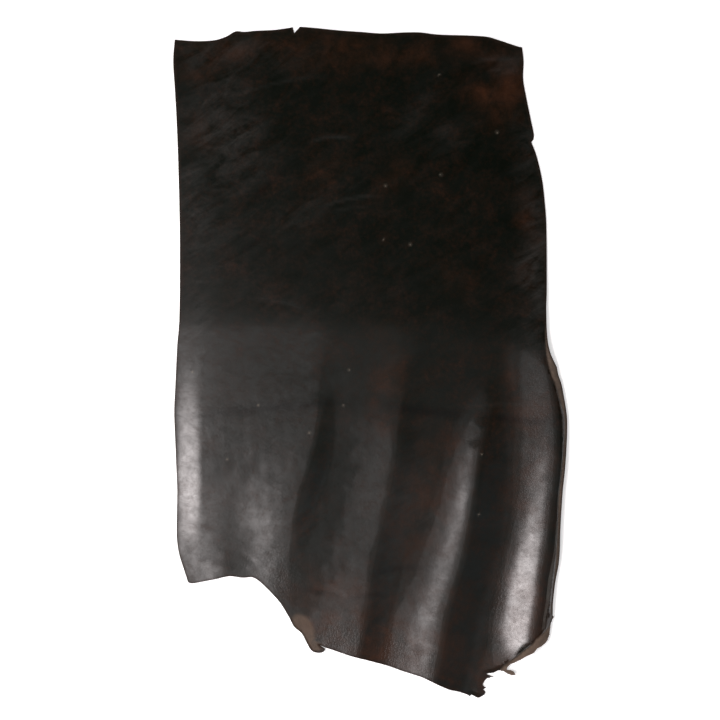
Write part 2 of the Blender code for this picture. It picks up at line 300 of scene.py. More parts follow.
def tear_lift(x, y):
    """The upper lip of the tear stands proud of the tab, which lies behind it."""
    (tip_x, tip_y), (mouth_x, mouth_y) = TEAR_TIP, TEAR_MOUTH
    run = math.hypot(mouth_x - tip_x, mouth_y - tip_y)
    dx, dy = (mouth_x - tip_x) / run, (mouth_y - tip_y) / run
    along = (x - tip_x) * dx + (y - tip_y) * dy
    above = (y - tip_y) * dx - (x - tip_x) * dy > ON_LINE
    near = np.exp(-(((x - mouth_x) / TEAR_REACH) ** 2 + ((y - mouth_y) / TEAR_REACH) ** 2))
    return TEAR_LIFT * smooth_step(along / run) * near * above


def underside_height(x, y):
    """Height of the flesh side above the floor: nought on most of the head half."""
    ridges = sum(ridge_height(rows, x, y) for rows in RIDGES)
    return roll_height(x, y) + slack_height(x, y) + tear_lift(x, y) + ridges


def inside_line(px, py, line):
    """Whether each point is inside the closed line, by counting crossings."""
    crossings = np.zeros(len(px), int)
    for (x0, y0), (x1, y1) in zip(line, np.roll(line, -1, axis=0)):
        if y0 != y1:
            spans = (y0 > py) != (y1 > py)
            crossings += spans & (px < x0 + (py - y0) * (x1 - x0) / (y1 - y0))
    return crossings % 2 == 1


def distance_to(px, py, line):
    """Distance from each point to an open line."""
    nearest = np.full(len(px), 1e9)
    for a, b in zip(line[:-1], line[1:]):
        span = b - a
        t = ((px - a[0]) * span[0] + (py - a[1]) * span[1]) / span.dot(span)
        t = np.clip(t, 0.0, 1.0)
        gap = np.hypot(px - a[0] - t * span[0], py - a[1] - t * span[1])
        nearest = np.minimum(nearest, gap)
    return nearest


def net_points(edge, lines):
    """Points in even triangles inside the edge, clear of it and of the other lines."""
    found, taken = [], []
    closed_edge = np.vstack([edge, edge[:1]])
    for zone in NET_ZONES:
        low_x, low_y, high_y, spacing = zone
        ys = np.arange(low_y, high_y, spacing * math.sqrt(0.75))
        xs = np.arange(low_x, NET_END_X, spacing)
        grid_x, grid_y = np.meshgrid(xs, ys)
        grid_x[1::2] += spacing / 2
        x, y = grid_x.ravel(), grid_y.ravel()
        keep = inside_line(x, y, edge)
        for first_x, first_y, last_y, first_spacing in taken:
            gap = (first_spacing + spacing) * ZONE_GAP
            keep &= ~((x > first_x - gap) & (y > first_y - gap) & (y < last_y + gap))
        x, y = x[keep], y[keep]
        for line in [closed_edge, *lines]:
            clear = distance_to(x, y, line) > spacing * LINE_GAP
            x, y = x[clear], y[clear]
        found.append(np.column_stack([x, y]))
        taken.append(zone)
    return np.concatenate(found)


def offset_line(line, distance):
    """The line moved sideways, to its right as it runs."""
    run = np.gradient(line, axis=0)
    run /= np.linalg.norm(run, axis=1)[:, None]
    return line + distance * np.column_stack([run[:, 1], -run[:, 0]])


# The fray of the tear: seed, length of a step, and its usual depth; then how many steps
# are deeper picks, and how deep those go.
FRAY_SEED, FRAY_STEP, FRAY_DEPTH = 11, 1.3, 0.28
PICK_SHARE, PICK_DEPTH = 0.12, (0.4, 1.3)


def frayed(edge, torn):
    """The edge with short uneven steps and picks wherever it runs along the tear."""
    rng = np.random.default_rng(FRAY_SEED)
    on_tear = distance_to(edge[:, 0], edge[:, 1], torn) < ON_LINE
    found = []
    for i, at in enumerate(edge):
        found.append(at)
        ahead = edge[(i + 1) % len(edge)]
        if on_tear[i] and on_tear[(i + 1) % len(edge)]:
            run = ahead - at
            length = np.linalg.norm(run)
            side = np.array([run[1], -run[0]]) / length
            pieces = max(1, int(length / FRAY_STEP))
            for k in range(1, pieces):
                pick = rng.normal(0, FRAY_DEPTH)
                pick += (rng.random() < PICK_SHARE) * rng.uniform(*PICK_DEPTH)
                found.append(at + run * (k + rng.uniform(-0.2, 0.2)) / pieces - side * pick)
    return np.array(found)


# Small healed scars and ticks: x, y, radius. Each pales out to SCAR_REACH of its radius,
# and the net keeps clear of it to SCAR_CLEAR.
SCARS = [
    (246, 445, 1.6), (135, 364, 1.4), (29, 342, 1.3), (77, 228, 1.4), (25, 238, 1.0),
    (133, 558, 1.2), (-346, -19, 1.8), (-119, -137, 1.7), (-218, -83, 1.6), (-53, -83, 1.3),
    (-278, -188, 1.6), (215, -178, 1.2), (209, -294, 1.3), (-41, -15, 1.2),
]
SCAR_REACH, SCAR_CLEAR = 1.2, 1.6

# The edge line keeps the knife's slight waver, and the torn corner its ragged nicks.
edge_rows = HEAD_CUT + BELLY + TORN_CORNER + SHANK + BACK_CUT
edge_line = points_along(edge_rows, EDGE_STEP, closed=True)
torn_line = points_along(TORN_CORNER, EDGE_STEP, closed=False)
edge_line = frayed(edge_line, torn_line)
centre = (edge_line.max(axis=0) + edge_line.min(axis=0)) / 2
grain_rows = [(x, y, ROUND) for x, y in GRAIN_END]
grain_end = points_along(grain_rows, GRAIN_END_STEP, closed=False)
grain_foot = offset_line(grain_end, -GRAIN_LIP)

# Each scar gets a point of its own and a ring of six round it.
scar_points = []
for scar_x, scar_y, radius in SCARS:
    ring = [(math.cos(a) * radius, math.sin(a) * radius) for a in np.arange(6) * math.pi / 3]
    scar_points += [(scar_x, scar_y)] + [(scar_x + x, scar_y + y) for x, y in ring]
scar_points = np.array(scar_points)

net = net_points(edge_line, [grain_end, grain_foot])
for scar_x, scar_y, radius in SCARS:
    away = np.hypot(net[:, 0] - scar_x, net[:, 1] - scar_y)
    net = net[away > radius * SCAR_CLEAR]

# The net is made of triangles that keep to the edge and to both lines of the grain's end.
INSIDE_EDGE, MERGE_WITHIN = 1, 1e-4
line_points = [edge_line, grain_end, grain_foot]
constraints, start = [], 0
for number, line in enumerate(line_points):
    count = len(line)
    constraints += [(start + i, start + i + 1) for i in range(count - 1)]
    if number == 0:
        constraints.append((start + count - 1, start))
    start += count
flat_points = np.concatenate([*line_points, scar_points, net])
flat = [Vector(p) for p in flat_points]
points, _, faces, *_ = delaunay_2d_cdt(flat, constraints, [], INSIDE_EDGE, MERGE_WITHIN)
x = np.array([p.x for p in points])
y = np.array([p.y for p in points])


# How steeply an oval patch fades, and the lengths over which its outline wanders.
OVAL_FADE, WANDER_DOWN, WANDER_ACROSS = 0.9, 23.0, 31.0


def soft_ovals(x, y, rows, wander=0.0):
    """Soft oval patches: x, y, half length, half width, turn in degrees, strength."""
    total = np.zeros(len(x))
    for cx, cy, length, width, turn, strength in rows:
        c, s = math.cos(math.radians(turn)), math.sin(math.radians(turn))
        dx = x - cx + wander * np.sin(y / WANDER_DOWN)
        dy = y - cy + wander * np.sin(x / WANDER_ACROSS)
        along, across = (dx * c + dy * s) / length, (dy * c - dx * s) / width
        total = np.maximum(total, strength * np.exp(-(along**2 + across**2) * OVAL_FADE))
    return total


def bowed_lines(x, y, rows, ends):
    """Short bowed lines; each fades in over one part in so many of its length."""
    total = np.zeros(len(x))
    for x0, y0, x1, y1, bow, half, strength in rows:
        run = math.hypot(x1 - x0, y1 - y0)
        dx, dy = (x1 - x0) / run, (y1 - y0) / run
        t = ((x - x0) * dx + (y - y0) * dy) / run
        aside = (y - y0) * dx - (x - x0) * dy - bow * 4 * t * (1 - t)
        fade = smooth_step(t * ends) * smooth_step((1 - t) * ends)
        total += strength * fade * np.exp(-((aside / half) ** 2))
    return total


# Old creases, polished pale (above nought), or dull and darkened with painted shade (below);
# the three long dull rows across the middle paint a dark band of shade right across the
# hide. Columns: x and y of both ends, sideways bow, half width, strength.
CREASES_AND_SHADE = [
    (-288, 509, -74, 558, 8, 3.0, 0.5), (-133, 420, -22, 430, 12, 3.5, 0.8),
    (-107, 296, 29, 323, 8, 3.0, 0.7), (-96, 285, 10, 300, 6, 2.5, 0.4),
    (-191, 247, -107, 286, 4, 3.5, 0.4), (184, 577, 296, 584, 8, 3.0, 0.7),
    (225, 570, 297, 566, -4, 2.5, 0.8), (-330, 500, -302, 548, 4, 4.0, -0.6),
    (-340, 470, -320, 520, -3, 2.5, 0.4), (-230, 300, -150, 380, 10, 7.0, -0.45),
    (-260, 200, -180, 260, 6, 5.0, -0.4), (-364, 150, -300, 156, 3, 2.5, 0.5),
    (-360, 250, -280, 262, -4, 3.0, 0.35), (-300, 66, -150, 60, 4, 3.0, 0.3),
    (-385, -112, 4, -76, 6, 9.0, -0.65), (0, -76, 215, -100, -8, 9.0, -0.65),
    (210, -102, 380, -116, -4, 8.0, -0.7), (150, -92, 330, -84, 6, 3.0, 0.35),
    (-330, -130, -200, -112, 6, 3.0, 0.4), (-40, -420, 170, -400, 10, 6.0, -0.5),
    (-60, -468, 40, -452, 8, 5.0, -0.5), (-200, -440, -60, -462, 10, 6.0, -0.5),
    (-350, -380, -250, -396, 6, 5.0, -0.4), (-120, 60, -60, 20, 4, 2.0, 0.4),
]

WRINKLE_ENDS, CREASE_ENDS = 4, 3

# Where the dye is thin and warm brown shows through the black.
WARM_PATCHES = [
    (-49, 606, 252, 23, -2, 0.50), (-331, 571, 50, 19, 0, 0.45),
    (-253, 595, 47, 17, 10, 0.50), (3, 591, 113, 16, 5, 0.50), (184, 616, 27, 16, 0, 0.70),
    (223, 525, 39, 23, 0, 0.85), (267, 537, 29, 54, 0, 0.80), (258, 490, 47, 25, 0, 0.50),
    (252, 599, 47, 19, 0, 0.40), (-331, 451, 39, 35, 0, 0.25), (-98, 364, 35, 27, 0, 0.30),
    (48, 370, 27, 35, 0, 0.25), (300, 286, 21, 54, 0, 0.30), (310, 195, 21, 89, 0, 0.22),
    (178, 150, 39, 33, 0, 0.18), (38, 63, 31, 27, 0, 0.20), (29, -30, 25, 62, -20, 0.50),
    (34, -122, 21, 21, 0, 0.50), (267, -19, 14, 43, 0, 0.40), (300, -102, 43, 39, 0, 0.60),
    (135, -205, 54, 70, 0, 0.40), (104, -300, 60, 110, 0, 0.45),
    (30, -545, 150, 64, -14, 0.70), (296, -470, 50, 120, 0, 0.70),
    (310, -230, 36, 100, 0, 0.60), (-136, -457, 35, 43, 40, 0.50),
    (-94, -504, 54, 33, -20, 0.75), (-78, -450, 76, 34, 0, 0.55),
    (252, -568, 47, 17, 28, 0.80), (215, -626, 23, 25, 0, 0.80),
    (58, -568, 113, 16, -14, 0.60), (120, -481, 70, 54, 0, 0.35),
]
# Where wax has bloomed to a grey haze on the grain.
HAZE_PATCHES = [
    (-253, 437, 52, 25, 22, 1.00), (-350, 364, 30, 40, 0, 0.60),
    (-340, 300, 42, 44, 30, 0.65), (-350, 228, 30, 46, 0, 0.45),
    (-300, 250, 60, 34, 35, 0.26), (-340, 82, 24, 60, 0, 0.90),
    (-301, 529, 62, 34, 20, 0.50), (-345, 470, 34, 50, 0, 0.35),
    (-290, 180, 70, 40, 35, 0.20), (87, 490, 46, 24, 60, 0.30),
    (155, 432, 50, 26, 40, 0.28), (-120, 300, 90, 34, 30, 0.18),
    (322, 180, 30, 130, 0, 0.85), (306, 400, 24, 70, 0, 0.50), (270, 584, 34, 20, 10, 0.50),
    (-170, 110, 120, 30, 0, 0.10), (-286, 430, 74, 110, 10, 0.62),
    (-280, 600, 110, 34, 0, 0.50), (-220, -330, 100, 60, 40, 0.35),
    (60, -250, 60, 80, 0, 0.20),
]
# Where the leather near the edges has a coarse, loose grain.
COARSE_PATCHES = [
    (-10, -560, 140, 46, -14, 1.0), (-180, -410, 60, 40, -45, 0.8),
    (110, -600, 90, 36, -20, 0.8), (275, -500, 60, 110, 10, 0.8),
    (320, -300, 40, 180, 0, 0.5), (330, 40, 30, 90, 0, 0.4), (-270, -390, 120, 30, 0, 0.35),
    (310, 480, 40, 80, 0, 0.35),
]
# Where the grain layer is missing and the dyed corium shows, matt: a soft oval, made
# steeper by a gain, with its foot cut off, and never quite bare.
BARE_PATCHES = [(-131, -519, 27, 46, 28, 1.10), (-108, -551, 20, 13, 0, 1.1)]
BARE_GAIN, BARE_FOOT, BARE_MOST = 4.0, 2.2, 0.66
# How far the soft patches wander from their ovals.
WARM_WANDER, HAZE_WANDER, BARE_WANDER = 6.0, 10.0, 3.0
# How far in from the cut edge the grain is dark and burnished, and how far from the
# tear that starts.
RIM_WIDTH, RIM_FROM_TEAR = 4.2, 8.0
# From where down and over what length the leather grows slack and its grain coarser.
SLACK_GRAIN_FROM_Y, SLACK_GRAIN_REACH = 70.0, 200.0

# The grain's end is closed round by corners well clear of the hide, to tell its far side.
far_corners = [(240, -900), (900, -900), (900, LIP_FROM_Y)]
outside = inside_line(x, y, np.vstack([grain_end, far_corners]))
past_grain = np.where(outside, distance_to(x, y, grain_end), 0.0)
lip_share = smooth_step((LIP_FROM_Y - y) / LIP_REACH)
lip = np.clip(past_grain / GRAIN_LIP, 0.0, 1.0) * lip_share
worn_lip = smooth_step(past_grain / LIP_WEAR) * lip_share
to_tear = distance_to(x, y, torn_line)
to_edge = distance_to(x, y, np.vstack([edge_line, edge_line[:1]]))
whole = smooth_step(to_tear / TORN_REACH)
thickness = TORN_THICKNESS + (THICKNESS - TORN_THICKNESS) * whole
thickness -= GRAIN_LAYER * lip * whole

under = underside_height(x, y)
# The thickness stands square to the underside, whose slope is taken over a short step.
STEP = 0.5
slope_x = (underside_height(x + STEP, y) - underside_height(x - STEP, y)) / (2 * STEP)
slope_y = (underside_height(x, y + STEP) - underside_height(x, y - STEP)) / (2 * STEP)
up = np.column_stack([-slope_x, -slope_y, np.ones(len(x))])
up /= np.linalg.norm(up, axis=1)[:, None]
fine_relief = bowed_lines(x, y, WRINKLES, WRINKLE_ENDS) + swell_height(x, y)
rise = thickness + fine_relief * (1 - lip)
flesh_points = np.column_stack([x, y, under])
grain_points = flesh_points + up * rise[:, None]

triangles = np.array(faces)
a, b, c = (grain_points[triangles[:, k], :2] for k in range(3))
ab, ac = b - a, c - a
turned = ab[:, 0] * ac[:, 1] - ab[:, 1] * ac[:, 0] < 0
triangles[turned] = triangles[turned][:, ::-1]
# The sides that only one triangle uses are the cut edge.
sides = np.concatenate([triangles[:, [0, 1]], triangles[:, [1, 2]], triangles[:, [2, 0]]])
_, first, uses = np.unique(
    np.sort(sides, axis=1), axis=0, return_index=True, return_counts=True
)
rim = sides[first[uses == 1]]
count = len(x)
rim_faces = np.column_stack([rim[:, 1], rim[:, 0], rim[:, 0] + count, rim[:, 1] + count])

mesh = bpy.data.meshes.new("hide_sheet")
mesh.from_pydata(
    (np.concatenate([grain_points, flesh_points]) - [*centre, 0.0]) * MM,
    [],
    [*triangles.tolist(), *(triangles[:, ::-1] + count).tolist(), *rim_faces.tolist()],
)
GRAIN, FLESH, EDGE = 0, 1, 2
CREASE_ANGLE = 38
slots = np.repeat([GRAIN, FLESH, EDGE], [len(triangles), len(triangles), len(rim_faces)])
mesh.polygons.foreach_set("material_index", slots.astype(np.int32))
scar_mask = np.zeros(count)
for scar_x, scar_y, radius in SCARS:
    near = np.hypot(x - scar_x, y - scar_y)
    scar_mask = np.maximum(scar_mask, np.clip(SCAR_REACH - near / radius, 0, 1))
bare_ovals = soft_ovals(x, y, BARE_PATCHES, wander=BARE_WANDER)
masks = {
    "warm": soft_ovals(x, y, WARM_PATCHES, wander=WARM_WANDER),
    "haze": soft_ovals(x, y, HAZE_PATCHES, wander=HAZE_WANDER),
    # Creases, with painted shade along the dull ones and in a band across the middle.
    "crease_and_shade": bowed_lines(x, y, CREASES_AND_SHADE, CREASE_ENDS),
    "coarse": soft_ovals(x, y, COARSE_PATCHES),
    "slack": smooth_step((SLACK_GRAIN_FROM_Y - y) / SLACK_GRAIN_REACH),
    "bare": np.maximum(worn_lip, np.clip(bare_ovals * BARE_GAIN - BARE_FOOT, 0, BARE_MOST)),
    "rim": np.clip(1 - to_edge / RIM_WIDTH, 0, 1) * smooth_step(to_tear / RIM_FROM_TEAR),
    "scar": scar_mask,
}
for name, values in masks.items():
    layer = mesh.attributes.new(name, "FLOAT", "POINT")
    layer.data.foreach_set("value", np.tile(values, 2).astype(np.float32))
mesh.update()
hide_sheet = bpy.data.objects.new("hide_sheet", mesh)
bpy.context.scene.collection.objects.link(hide_sheet)
mesh.polygons.foreach_set("use_smooth", np.ones(len(mesh.polygons), bool))
mesh.set_sharp_from_angle(angle=math.radians(CREASE_ANGLE))


def shader_node(tree, kind, inputs=(), **settings):
    """A node with its settings made, and each input either linked or given its value."""
    node = tree.nodes.new(kind)
    for name, value in settings.items():
        setattr(node, name, value)
    for name, value in dict(inputs).items():
        if isinstance(value, bpy.types.NodeSocket):
            tree.links.new(value, node.inputs[name])
        else:
            node.inputs[name].default_value = value
    return node


def mask_node(tree, name):
    return shader_node(tree, "ShaderNodeAttribute", attribute_name=name).outputs["Fac"]


def blend_colour(tree, amount, a, b, mode="MIX"):
    mix = shader_node(
        tree, "ShaderNodeMix", {0: amount, 6: a, 7: b}, data_type="RGBA", blend_type=mode
    )
    return mix.outputs[2]


def sums(tree, operation, a, b, clamp=False):
    math_node = shader_node(tree, "ShaderNodeMath", {0: a, 1: b}, operation=operation)
    math_node.use_clamp = clamp
    return math_node.outputs[0]


def shares(tree, parts, total=None, clamp=False):
    """The sum of values, each taken by its share, on top of a total if one is given."""
    for left, (value, share) in zip(reversed(range(len(parts))), parts):
        part = sums(tree, "MULTIPLY", value, share)
        last = clamp and left == 0
        total = part if total is None else sums(tree, "ADD", total, part, clamp=last)
    return total


def spread(tree, value, low, high, to_low=0.0, to_high=1.0):
    """The value carried from one range to another, and held at its ends."""
    ranged = shader_node(
        tree, "ShaderNodeMapRange",
        {"Value": value, "From Min": low, "From Max": high, "To Min": to_low,
         "To Max": to_high},
    )
    return ranged.outputs["Result"]


def speckle(tree, place, scale, detail=4.0, roughness=0.6, distortion=0.0):
    """Cloudy speckles, so many to the metre."""
    found = shader_node(
        tree, "ShaderNodeTexNoise",
        {"Vector": place, "Scale": scale, "Detail": detail, "Roughness": roughness,
         "Distortion": distortion},
    )
    return found.outputs["Fac"]


def bumped(tree, strength, distance, height, over=None):
    """The surface's normal bumped by a height, over another bump if one is given."""
    inputs = {"Strength": strength, "Distance": distance, "Height": height}
    if over is not None:
        inputs["Normal"] = over
    return shader_node(tree, "ShaderNodeBump", inputs).outputs["Normal"]


def new_material(name):
    material = bpy.data.materials.new(name)
    material.use_nodes = True
    return material, material.node_tree, material.node_tree.nodes["Principled BSDF"]


# Fibres to the metre at a fineness of one, how many tufts there are to each, and how
# much higher those stand; then the height over which they go from light to dark.
FIBRES, TUFT_SHARE, TUFT_HEIGHT = 900.0, 0.12, 1.5
NAP_SPECKS, TUFT_SPECKS = (5.0, 0.75, 1.2), (4.0, 0.6)
FIBRE_SHADE = (0.9, 1.6)


def fibre_group():
    """Loose corium fibres: a height and a light-to-dark mask, as on any raw leather face."""
    group = bpy.data.node_groups.new("leather_fibres", "ShaderNodeTree")
    group.interface.new_socket("Place", in_out="INPUT", socket_type="NodeSocketVector")
    group.interface.new_socket("Fineness", in_out="INPUT", socket_type="NodeSocketFloat")
    group.interface.new_socket("Height", in_out="OUTPUT", socket_type="NodeSocketFloat")
    group.interface.new_socket("Shade", in_out="OUTPUT", socket_type="NodeSocketFloat")
    entry = group.nodes.new("NodeGroupInput")
    leave = group.nodes.new("NodeGroupOutput")
    place = entry.outputs["Place"]
    fine = sums(group, "MULTIPLY", entry.outputs["Fineness"], FIBRES)
    nap = speckle(group, place, fine, *NAP_SPECKS)
    tufts = sums(group, "MULTIPLY", fine, TUFT_SHARE)
    tuft = speckle(group, place, tufts, *TUFT_SPECKS)
    height = sums(group, "ADD", nap, sums(group, "MULTIPLY", tuft, TUFT_HEIGHT))
    group.links.new(height, leave.inputs["Height"])
    group.links.new(spread(group, height, *FIBRE_SHADE), leave.inputs["Shade"])
    return group


fibres = fibre_group()


def place_fibres(tree, fineness):
    place = shader_node(tree, "ShaderNodeTexCoord").outputs["Object"]
    node = shader_node(tree, "ShaderNodeGroup", node_tree=fibres)
    tree.links.new(place, node.inputs["Place"])
    node.inputs["Fineness"].default_value = fineness
    return node


# Colours of the dyed grain, of the wax haze on it, and of the corium where it is bare.
BLACK = (0.0018, 0.0034, 0.0014, 1)
DARK_BROWN = (0.0160, 0.0080, 0.0042, 1)
WARM_BROWN = (0.044, 0.0165, 0.0070, 1)
HAZE_GREY = (0.059, 0.057, 0.053, 1)
BARE_CORIUM, BARE_SHADE = (0.152, 0.114, 0.088, 1), (0.086, 0.066, 0.052, 1)
BARE_WARM = (0.120, 0.080, 0.056, 1)
SCAR_PALE = (0.16, 0.14, 0.11, 1)
SHADOW = (0, 0, 0, 1)
# The least and most of the wax's roughness, and of the gloss on top of it.
WAX_ROUGH, GLOSS_SHARE = (0.284, 0.342), (0.88, 0.40)
GLOSS_ROUGH, GLOSS_IOR, WAX_SHINE = 0.09, 1.5, 0.13
# Speckles in the dye and the wax: how many to the metre, how much finer detail they
# have, how rough it is, and how far it is pulled about.
CLOUDS, MOTTLING = (9.0, 3.0, 0.5, 0.8), (24.0, 5.0, 0.70, 0.5)
FINE_SPECKS, FLECKS = (130.0, 3.0, 0.6), (300.0, 2.0, 0.6)
# Strokes of the wax brush and of the polishing cloth: the direction they are drawn out
# in, how much longer and narrower they are than a speckle, and the speckle they are of.
BRUSHED, BRUSH_SPECKS = (34, 2.4, 0.7), (26.0, 5.0, 0.66, 1.0)
RUBBED, RUB_SPECKS = (-12, 1.5, 0.8), (34.0, 5.0, 0.72, 1.4)
# The grain's relief: pores and pebbling all over, grooves where it is coarse, raw nap
# where it is bare. Each has its number to the metre, its height in metres and how
# strongly it shows; pores and pebbling show less where the leather is tight than where it
# is slack. The grooves are drawn out, and no wider than a share of the cell between them.
PORES, PORE_SOFTNESS, PORE_HEIGHT, PORE_BUMP = 620.0, 0.6, 0.00015, (0.25, 0.80)
PEBBLES, PEBBLE_HEIGHT, PEBBLE_BUMP = (62.0, 5.0, 0.62), 0.0008, (0.16, 0.62)
GROOVES, GROOVE_DRAW, GROOVE_WIDTH = 175.0, (70, 1.4, 1.0), 0.20
GROOVE_HEIGHT, GROOVE_BUMP = 0.0012, 0.9
RAW_FINENESS, RAW_HEIGHT, RAW_BUMP = 0.8, 0.0006, 0.5


def stretched(tree, place, turn, long, short):
    """Coordinates drawn out along one direction, in degrees from the hide's width."""
    node = shader_node(
        tree, "ShaderNodeMapping",
        {"Vector": place, "Rotation": (0, 0, math.radians(turn)),
         "Scale": (long, short, 1.0)},
        vector_type="TEXTURE",
    )
    return node.outputs["Vector"]


def grain_leather():
    """Waxed aniline grain: black over brown dye, worn warm in patches, satin under gloss."""
    material, tree, shader = new_material("waxed_grain")
    place = shader_node(tree, "ShaderNodeTexCoord").outputs["Object"]
    warm, haze, crease_and_shade = (mask_node(tree, name) for name in ("warm", "haze", "crease_and_shade"))
    coarse, bare, scar = (mask_node(tree, name) for name in ("coarse", "bare", "scar"))
    slack, rim = mask_node(tree, "slack"), mask_node(tree, "rim")
    cloud = speckle(tree, place, *CLOUDS)
    mottle = speckle(tree, place, *MOTTLING)
    fine = speckle(tree, place, *FINE_SPECKS)
    fleck = speckle(tree, place, *FLECKS)
    sweep = speckle(tree, stretched(tree, place, *BRUSHED), *BRUSH_SPECKS)
    rub = speckle(tree, stretched(tree, place, *RUBBED), *RUB_SPECKS)
    strokes = shares(tree, [(sweep, 0.65), (rub, 0.35)])
    # Pale creases are the leather's own; the dull ones carry painted shade and lose their
    # gloss.
    pale = sums(tree, "MAXIMUM", crease_and_shade, 0.0)
    dull_shaded_crease = sums(tree, "MAXIMUM", sums(tree, "MULTIPLY", crease_and_shade, -1.0), 0.0)

    # The dye, thin and warm in places, then the wax film and what lies over it.
    dye = shares(tree, [(cloud, 0.20), (mottle, 0.45), (fine, 0.35)])
    colour = blend_colour(tree, spread(tree, dye, 0.46, 0.69), BLACK, DARK_BROWN)
    worn = sums(tree, "MULTIPLY", warm, spread(tree, mottle, 0.36, 0.64, 0.22, 1.15))
    worn = sums(tree, "ADD", worn, spread(tree, dye, 0.56, 0.72, 0.0, 0.26), clamp=True)
    colour = blend_colour(tree, worn, colour, WARM_BROWN)
    film_strokes = spread(tree, strokes, 0.40, 0.63, 0.0, 1.22)
    film = sums(tree, "MULTIPLY", sums(tree, "ADD", haze, 0.08), film_strokes)
    film = sums(tree, "ADD", film, sums(tree, "MULTIPLY", pale, 0.55), clamp=True)
    colour = blend_colour(tree, sums(tree, "MULTIPLY", film, 0.42), colour, HAZE_GREY)
    # Fine dark flecks in the dye, and painted shade: the dull creases and the long band
    # across the middle are darkened towards black.
    flecks = spread(tree, fleck, 0.30, 0.70, 0.0, 0.25)
    shade = sums(tree, "ADD", flecks, sums(tree, "MULTIPLY", dull_shaded_crease, 0.6))
    colour = blend_colour(tree, shade, colour, SHADOW, "MULTIPLY")

    # The corium where the grain is gone, the scars, and the dark burnished edge.
    raw = place_fibres(tree, RAW_FINENESS)
    corium = blend_colour(tree, raw.outputs["Shade"], BARE_CORIUM, BARE_SHADE)
    corium = blend_colour(tree, sums(tree, "MULTIPLY", warm, 0.9), corium, BARE_WARM)
    colour = blend_colour(tree, bare, colour, corium)
    colour = blend_colour(tree, scar, colour, SCAR_PALE)
    colour = blend_colour(tree, sums(tree, "MULTIPLY", rim, 0.95), colour, DARK_BROWN)
    tree.links.new(colour, shader.inputs["Base Color"])

    # The wax's roughness, and the gloss that polishing left where nothing wore it off.
    rough = spread(tree, strokes, 0.30, 0.70, *WAX_ROUGH)
    rough = sums(tree, "ADD", rough, spread(tree, mottle, 0.30, 0.70, -0.008, 0.008))
    rough = shares(tree, [(film, 0.08), (rim, 0.25), (bare, 0.5)], rough, clamp=True)
    tree.links.new(rough, shader.inputs["Roughness"])
    worn_off = shares(tree, [(coarse, 0.15), (dull_shaded_crease, 0.35), (rim, 0.8)], bare, clamp=True)
    polish = shares(tree, [(mottle, 0.40), (rub, 0.35), (fine, 0.25)])
    left_on = sums(tree, "SUBTRACT", 1.0, worn_off)
    gloss = sums(tree, "MULTIPLY", spread(tree, polish, 0.41, 0.59, *GLOSS_SHARE), left_on)
    tree.links.new(gloss, shader.inputs["Coat Weight"])
    shader.inputs["Coat Roughness"].default_value = GLOSS_ROUGH
    shader.inputs["Specular IOR Level"].default_value = WAX_SHINE
    shader.inputs["Coat IOR"].default_value = GLOSS_IOR

    # The relief, from the pores up to the raw nap where the grain is gone.
    pores = shader_node(
        tree, "ShaderNodeTexVoronoi",
        {"Vector": place, "Scale": PORES, "Smoothness": PORE_SOFTNESS}, feature="SMOOTH_F1",
    ).outputs["Distance"]
    cells = shader_node(
        tree, "ShaderNodeTexVoronoi",
        {"Vector": stretched(tree, place, *GROOVE_DRAW), "Scale": GROOVES},
        feature="DISTANCE_TO_EDGE",
    ).outputs["Distance"]
    grooves = sums(tree, "MINIMUM", cells, GROOVE_WIDTH)
    pebbles = speckle(tree, place, *PEBBLES)
    strength = spread(tree, slack, 0.0, 1.0, *PORE_BUMP)
    normal = bumped(tree, strength, PORE_HEIGHT, pores)
    strength = sums(tree, "MULTIPLY", coarse, GROOVE_BUMP)
    normal = bumped(tree, strength, GROOVE_HEIGHT, grooves, normal)
    strength = spread(tree, slack, 0.0, 1.0, *PEBBLE_BUMP)
    normal = bumped(tree, strength, PEBBLE_HEIGHT, pebbles, normal)
    strength = sums(tree, "MULTIPLY", bare, RAW_BUMP)
    normal = bumped(tree, strength, RAW_HEIGHT, raw.outputs["Height"], normal)
    tree.links.new(normal, shader.inputs["Normal"])
    return material


# The flesh side's two dyed tones and the shade between its fibres; how fine its nap is,
# how strongly it stands, and how high in metres.
FLESH_DARK, FLESH_PALE = (0.048, 0.034, 0.026, 1), (0.098, 0.073, 0.058, 1)
FLESH_SHADE, FLESH_CLOUDS = (0.030, 0.021, 0.016, 1), (9.0, 5.0, 0.6, 0.6)
FLESH_FINENESS, FLESH_BUMP, FLESH_HEIGHT = 0.55, 0.7, 0.0010
FLESH_ROUGH, FLESH_SHEEN, SHEEN_ROUGH = 0.95, 0.25, 0.5
# The same for the cut edge: its fibre, and where the dye has run into it.
EDGE_FIBRE, EDGE_DYED = (0.040, 0.027, 0.019, 1), (0.014, 0.010, 0.008, 1)
EDGE_FINENESS, EDGE_BUMP, EDGE_HEIGHT, EDGE_ROUGH = 1.3, 0.6, 0.0004, 0.85


def flesh_leather():
    """The raw flesh side: dyed through, matt and fuzzy, cloudy in tone."""
    material, tree, shader = new_material("flesh_side")
    nap = place_fibres(tree, FLESH_FINENESS)
    place = shader_node(tree, "ShaderNodeTexCoord").outputs["Object"]
    cloud = speckle(tree, place, *FLESH_CLOUDS)
    colour = blend_colour(tree, spread(tree, cloud, 0.36, 0.64), FLESH_DARK, FLESH_PALE)
    colour = blend_colour(tree, nap.outputs["Shade"], colour, FLESH_SHADE)
    tree.links.new(colour, shader.inputs["Base Color"])
    shader.inputs["Roughness"].default_value = FLESH_ROUGH
    shader.inputs["Sheen Weight"].default_value = FLESH_SHEEN
    shader.inputs["Sheen Roughness"].default_value = SHEEN_ROUGH
    normal = bumped(tree, FLESH_BUMP, FLESH_HEIGHT, nap.outputs["Height"])
    tree.links.new(normal, shader.inputs["Normal"])
    return material


